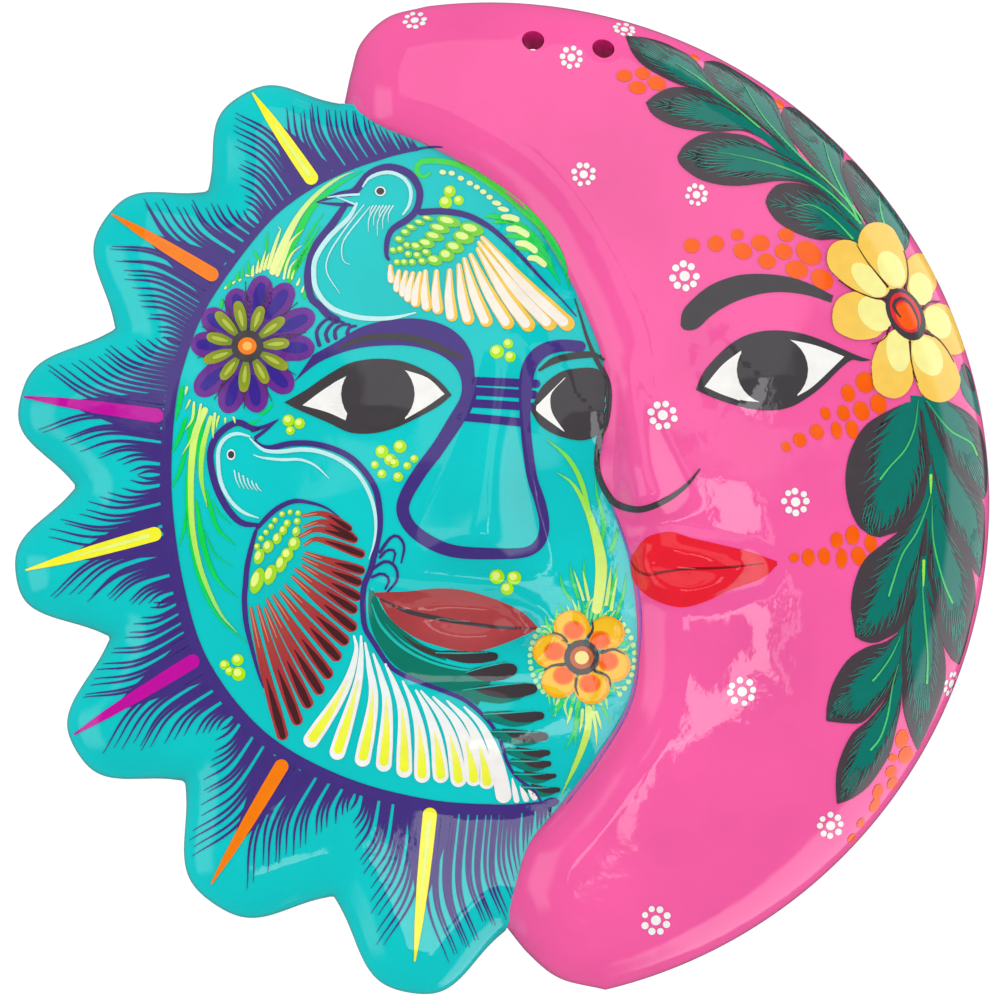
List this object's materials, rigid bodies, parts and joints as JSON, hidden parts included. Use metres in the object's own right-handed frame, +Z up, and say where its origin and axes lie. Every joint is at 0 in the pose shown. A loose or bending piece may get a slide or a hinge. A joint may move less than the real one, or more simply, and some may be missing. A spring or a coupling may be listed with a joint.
{
  "type": "wall plaque",
  "caption": "Round hand-painted clay wall plaque: a domed sun face with scalloped rays, overlapped by a raised crescent moon face, hollow behind, with two hanging holes.",
  "frame": {"origin": "on the wall plane at the back, midway between the two hanging holes", "axes": "+Y into the wall, so the faces look along -Y; +Z up; +X to the right seen from the front"},
  "size_m": [0.2913, 0.0437, 0.2966],
  "materials": {
    "clay_turquoise": "turquoise paint under high-gloss varnish",
    "clay_pink": "pink paint under high-gloss varnish",
    "lip_brown": "brown-red paint under varnish",
    "lip_red": "red paint under varnish",
    "clay_bare": "unglazed fired terracotta",
    "paint_purple": "purple paint under varnish",
    "paint_black": "black paint under varnish",
    "paint_white": "white paint under varnish",
    "paint_cream": "cream and yellow paint under varnish",
    "paint_yellow": "lemon yellow paint under varnish",
    "paint_lime": "lime green paint under varnish",
    "paint_green": "dark green paint under varnish",
    "paint_orange": "orange paint under varnish",
    "paint_magenta": "magenta paint under varnish",
    "paint_maroon": "maroon paint under varnish"
  },
  "bodies": {
    "root": {"sun_face": "clay_turquoise", "sun_ray_1": "clay_turquoise", "sun_ray_2": "clay_turquoise", "sun_ray_3": "clay_turquoise", "sun_ray_4": "clay_turquoise", "sun_ray_5": "clay_turquoise", "sun_ray_6": "clay_turquoise", "sun_ray_7": "clay_turquoise", "moon_crescent": "clay_pink", "sun_nose": "clay_turquoise", "moon_nose": "clay_pink", "sun_upper_lip": "lip_brown", "sun_lower_lip": "lip_brown", "moon_upper_lip": "lip_red", "moon_lower_lip": "lip_red", "seam_coil": "clay_bare"}
  },
  "joints": []
}
